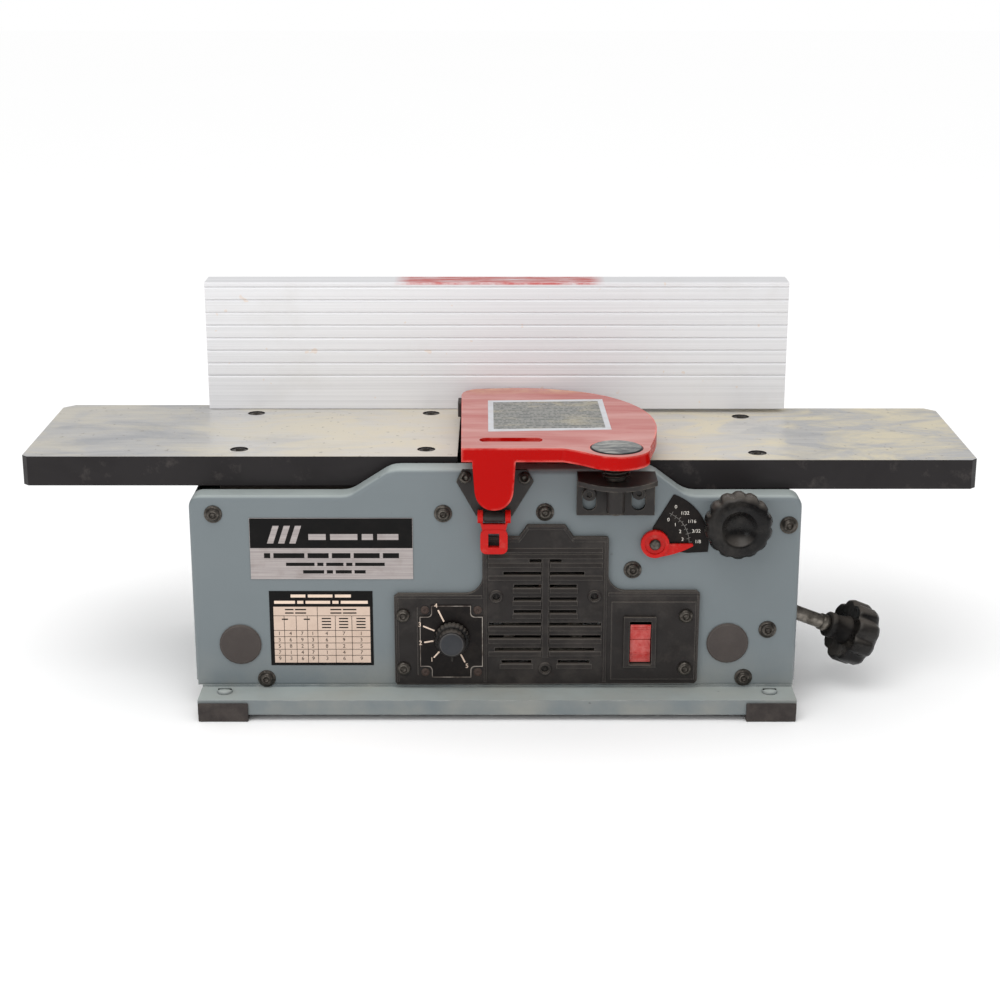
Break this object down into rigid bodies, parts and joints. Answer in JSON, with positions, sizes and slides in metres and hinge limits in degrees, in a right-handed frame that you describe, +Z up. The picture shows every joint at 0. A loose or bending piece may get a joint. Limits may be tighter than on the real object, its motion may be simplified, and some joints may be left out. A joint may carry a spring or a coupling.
{
  "type": "jointer",
  "caption": "Benchtop woodworking jointer with long infeed and outfeed tables, tall grooved fence, red swinging cutter guard and pressed-steel base with a vented control bezel.",
  "frame": {"origin": "under the middle of the whole machine's box, on the surface that the feet stand on", "axes": "+X along the tables towards the infeed end, +Y from the operator to the back, +Z up"},
  "size_m": [0.773, 0.3944, 0.322],
  "materials": {
    "blue_grey_paint": "smooth blue-grey enamel on pressed steel",
    "black_paint": "satin black enamel",
    "black_plastic": "fine moulded texture",
    "red_paint": "glossy red enamel, rubbed on the top",
    "red_plastic": "glossy red moulding",
    "rubber_foot": "dull moulded rubber",
    "table_iron": "machined top, black painted edges",
    "bed_iron": "rough dark casting",
    "steel": "turned and ground steel",
    "fence_aluminium": "grooved pale extrusion",
    "windings": "copper windings on a steel core",
    "dial_print": "black printed plate"
  },
  "bodies": {
    "base": {"front_panel": "blue_grey_paint", "rear_panel": "blue_grey_paint", "left_end_plate": "blue_grey_paint", "right_end_plate": "blue_grey_paint", "foot_front_left": "rubber_foot", "foot_front_right": "rubber_foot", "foot_rear_left": "rubber_foot", "foot_rear_right": "rubber_foot", "access_plug_left": "black_plastic", "access_plug_right": "black_plastic", "bed_casting": "bed_iron", "outfeed_table": "table_iron", "front_bearing": "steel", "rear_bearing": "steel", "front_bearing_cover": "black_paint", "motor_housing": "black_paint", "motor_bracket": "steel", "drive_belt": "rubber_foot", "belt_shield": "black_paint", "chip_chute": "steel", "chip_outlet": "black_plastic", "cord_gland": "black_plastic", "control_bezel": "black_plastic", "dial_plate": "dial_print", "speed_control": "steel", "switch_frame": "black_plastic", "depth_scale_plate": "dial_print", "pointer_screw": "steel", "guard_bracket": "bed_iron", "bracket_screw_left": "steel", "bracket_screw_right": "steel", "latch_pin": "steel", "fence_support": "bed_iron"},
    "infeed": {"infeed_table": "table_iron", "infeed_carriage": "bed_iron"},
    "depth_wheel": {"depth_knob": "black_plastic", "depth_shaft": "steel"},
    "pointer": {"depth_pointer": "red_plastic"},
    "cutter": {"cutterhead": "steel", "knife_1": "steel", "knife_2": "steel", "knife_wedge_1": "steel", "knife_wedge_2": "steel", "cutterhead_pulley": "steel"},
    "rotor": {"motor_armature": "windings", "motor_pulley": "steel"},
    "speed_dial": {"speed_knob": "black_plastic"},
    "rocker": {"switch_rocker": "red_plastic"},
    "guard_carrier": {"guard_spindle": "steel", "guard_spring": "steel"},
    "guard_arm": {"guard": "red_paint", "guard_cap": "black_plastic"},
    "latch": {"guard_latch": "red_plastic"},
    "fence_slider": {"fence_carriage": "bed_iron", "fence_hinge_pin": "steel"},
    "fence_face": {"fence": "fence_aluminium"},
    "tilt_clamp": {"tilt_lever": "black_plastic"},
    "slide_clamp": {"fence_lock_knob": "black_plastic"},
    "table_clamp": {"lock_rod": "steel", "lock_knob": "black_plastic"}
  },
  "joints": [
    {"name": "infeed_slide", "type": "slide", "parent": "base", "child": "infeed", "axis": [-0.9397, 0, 0.342], "range_m": [0, 0.00877]},
    {"name": "depth_knob_turn", "type": "hinge", "parent": "base", "child": "depth_wheel", "pos_m": [0.1895, -0.15475, 0.1638], "axis": [0, 1, 0], "range_deg": [0, 331]},
    {"name": "pointer_turn", "type": "hinge", "parent": "base", "child": "pointer", "pos_m": [0.125, -0.14875, 0.143], "axis": [0, -1, 0], "range_deg": [0, 61]},
    {"name": "cutter_spin", "type": "hinge", "parent": "base", "child": "cutter", "pos_m": [-0.004, -0.04525, 0.1836], "axis": [0, 1, 0], "continuous": true},
    {"name": "motor_spin", "type": "hinge", "parent": "base", "child": "rotor", "pos_m": [0.037, -0.04525, 0.094], "axis": [0, 1, 0], "continuous": true},
    {"name": "speed_knob_turn", "type": "hinge", "parent": "base", "child": "speed_dial", "pos_m": [-0.0388, -0.15475, 0.063], "axis": [0, 1, 0], "range_deg": [0, 300]},
    {"name": "rocker_tilt", "type": "hinge", "parent": "base", "child": "rocker", "pos_m": [0.1147, -0.14775, 0.0588], "axis": [-1, 0, 0], "range_deg": [0, 16]},
    {"name": "guard_follow", "type": "hinge", "parent": "base", "child": "guard_carrier", "pos_m": [0.0915, -0.17075, 0.203], "axis": [0, 0, 1], "range_deg": [0, 53]},
    {"name": "guard_swing", "type": "hinge", "parent": "guard_carrier", "child": "guard_arm", "pos_m": [0.0915, -0.17075, 0.22], "axis": [0, 0, 1], "range_deg": [0, 70], "stiffness_Nm_per_rad": 0.3},
    {"name": "latch_swing", "type": "hinge", "parent": "base", "child": "latch", "pos_m": [-0.0044, -0.15575, 0.168], "axis": [-1, 0, 0], "range_deg": [0, 80]},
    {"name": "fence_slide", "type": "slide", "parent": "base", "child": "fence_slider", "axis": [0, -1, 0], "range_m": [0, 0.08]},
    {"name": "fence_tilt", "type": "hinge", "parent": "fence_slider", "child": "fence_face", "pos_m": [0, 0.06655, 0.223], "axis": [-1, 0, 0], "range_deg": [0, 45]},
    {"name": "tilt_lever_turn", "type": "hinge", "parent": "fence_slider", "child": "tilt_clamp", "pos_m": [0.058, 0.08736, 0.24174], "axis": [-1, 0, 0], "range_deg": [0, 60]},
    {"name": "fence_lock_turn", "type": "hinge", "parent": "base", "child": "slide_clamp", "pos_m": [0, 0.10025, 0.23], "axis": [0, 0, 1], "range_deg": [0, 180]},
    {"name": "table_lock_turn", "type": "hinge", "parent": "base", "child": "table_clamp", "pos_m": [0.2475, -0.11725, 0.072], "axis": [0.8725, 0.2591, -0.4142], "range_deg": [0, 180]}
  ],
  "couplings": [
    {"joint": "depth_knob_turn", "follows": "infeed_slide", "rad_per_m": 656.63},
    {"joint": "pointer_turn", "follows": "infeed_slide", "rad_per_m": 119.39},
    {"joint": "motor_spin", "follows": "cutter_spin", "ratio": 0.75},
    {"joint": "guard_follow", "follows": "fence_slide", "rad_per_m": 11.345}
  ]
}
